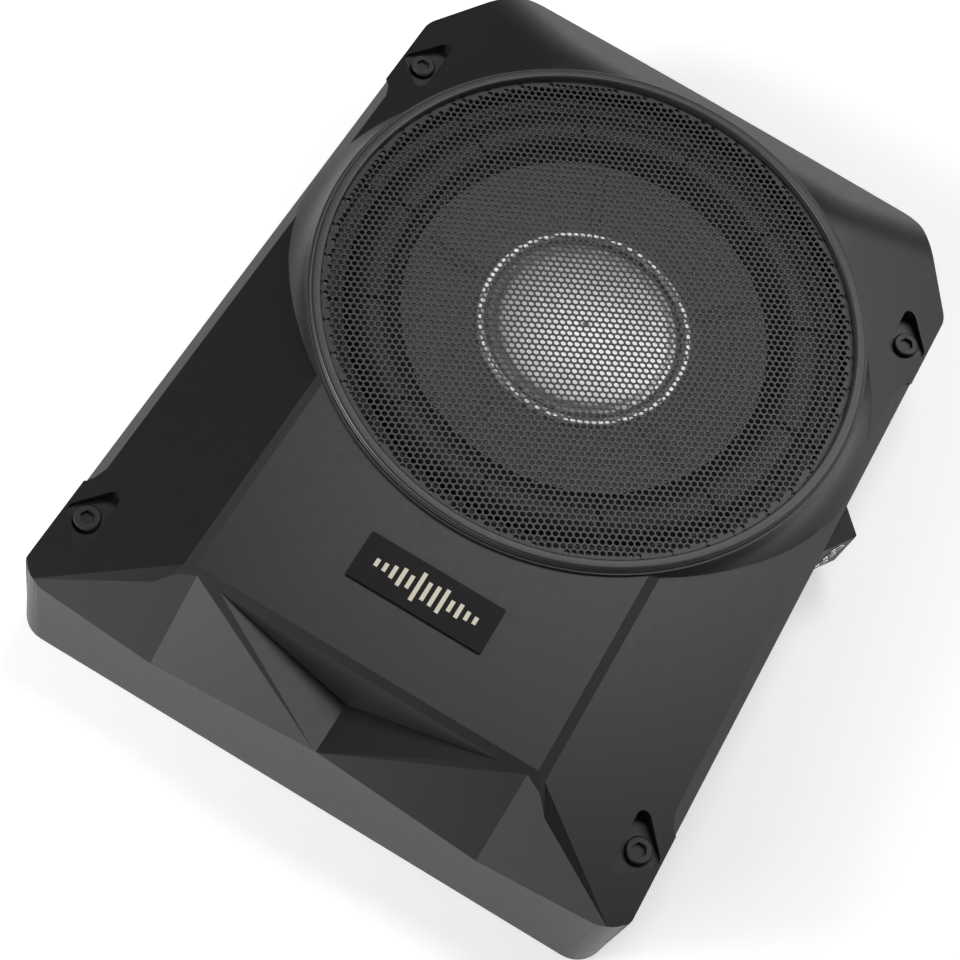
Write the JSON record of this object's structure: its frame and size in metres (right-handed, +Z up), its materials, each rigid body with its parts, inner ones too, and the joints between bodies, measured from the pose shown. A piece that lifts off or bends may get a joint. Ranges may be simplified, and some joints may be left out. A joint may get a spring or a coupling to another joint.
{
  "type": "powered car subwoofer",
  "caption": "Slim black under-seat powered subwoofer with a round perforated grille, faceted nose, aluminium dust cap and side terminal block.",
  "frame": {"origin": "floor level, midway between the four bracket holes", "axes": "+Z up out of the grille, +Y towards the rear of the cabinet, the faceted nose points to -Y, the terminal block is on +X"},
  "size_m": [0.2595, 0.3398, 0.0684],
  "materials": {
    "cover_plastic": "fine moulded texture, satin black",
    "base_metal": "black powder coat",
    "black_plastic": "moulded, satin",
    "gloss_black": "polished",
    "rubber": "matte",
    "foam": "closed-cell foam",
    "grille_steel": "black powder coat, perforated",
    "black_screw": "black oxide",
    "zinc_screw": "bright zinc",
    "cone_paper": "pressed cone, satin",
    "cap_metal": "satin anodised",
    "spider_cloth": "impregnated cloth",
    "former_paper": "heat-proof former",
    "copper": "enamelled winding",
    "steel": "zinc plated",
    "ferrite": "bare ferrite",
    "board": "solder resist",
    "brass_post": "turned",
    "heat_alu": "extruded, as drawn",
    "component_black": "moulded epoxy",
    "cap_sleeve": "shrink sleeve",
    "wire_red": "insulation",
    "terminal_board": "phenolic board",
    "panel_black": "moulded, fine texture",
    "pot_steel": "tin plated",
    "lever_white": "moulded",
    "port_ivory": "moulded nylon",
    "rca_shell_white": "moulded",
    "rca_shell_red": "moulded",
    "gold_pin": "gold flashed",
    "led_lens": "tinted lens",
    "block_black": "glass-filled nylon",
    "nickel": "nickel plated",
    "fuse_body": "tinted polycarbonate",
    "emblem_ink": "pad printed"
  },
  "bodies": {
    "cabinet": {"top_cover": "cover_plastic", "base_plate": "base_metal", "rubber_feet": "rubber", "base_seal": "foam", "cover_screws": "black_screw", "base_screws": "zinc_screw", "grille_bezel": "black_plastic", "grille": "grille_steel", "badge_plate": "gloss_black", "badge_emblem": "emblem_ink", "basket": "base_metal", "basket_gasket": "foam", "basket_screws": "zinc_screw", "surround": "rubber", "spider": "spider_cloth", "top_plate": "steel", "magnet": "ferrite", "yoke": "steel", "amplifier_board": "board", "board_standoffs": "brass_post", "board_screws": "zinc_screw", "heat_bar": "heat_alu", "power_transistors": "component_black", "toroid": "copper", "capacitors": "cap_sleeve", "speaker_wires": "wire_red", "driver_terminal": "terminal_board", "control_panel": "panel_black", "panel_screws": "black_screw", "pot_bodies": "pot_steel", "phase_switch_housing": "pot_steel", "remote_port": "port_ivory", "line_in_left": "rca_shell_white", "line_in_right": "rca_shell_red", "line_in_insulators": "rca_shell_white", "high_level_socket": "port_ivory", "high_level_pins": "gold_pin", "status_led": "led_lens", "terminal_block": "block_black", "terminal_inserts": "nickel", "terminal_screws": "nickel", "fuse_holder": "black_plastic", "fuse": "fuse_body"},
    "cone_assembly": {"cone": "cone_paper", "cap_ring": "cap_metal", "dust_cap": "cap_metal", "coil_former": "former_paper", "voice_coil": "copper"},
    "gain": {"gain_knob": "black_plastic"},
    "lowpass": {"lowpass_knob": "black_plastic"},
    "bass": {"bass_knob": "black_plastic"},
    "phase_lever": {"phase_switch_lever": "lever_white"}
  },
  "joints": [
    {"name": "cone_travel", "type": "slide", "parent": "cabinet", "child": "cone_assembly", "axis": [0, 0, 1], "range_m": [-0.006, 0.006], "stiffness_N_per_m": 3000, "deforming": ["surround", "spider"]},
    {"name": "gain_turn", "type": "hinge", "parent": "cabinet", "child": "gain", "pos_m": [0.116, -0.116, 0.022], "axis": [1, 0, 0], "range_deg": [-135, 135]},
    {"name": "lowpass_turn", "type": "hinge", "parent": "cabinet", "child": "lowpass", "pos_m": [0.116, -0.101, 0.022], "axis": [1, 0, 0], "range_deg": [-135, 135]},
    {"name": "bass_turn", "type": "hinge", "parent": "cabinet", "child": "bass", "pos_m": [0.116, -0.086, 0.022], "axis": [1, 0, 0], "range_deg": [-135, 135]},
    {"name": "phase_slide", "type": "slide", "parent": "cabinet", "child": "phase_lever", "axis": [0, 1, 0], "range_m": [0, 0.003]}
  ]
}
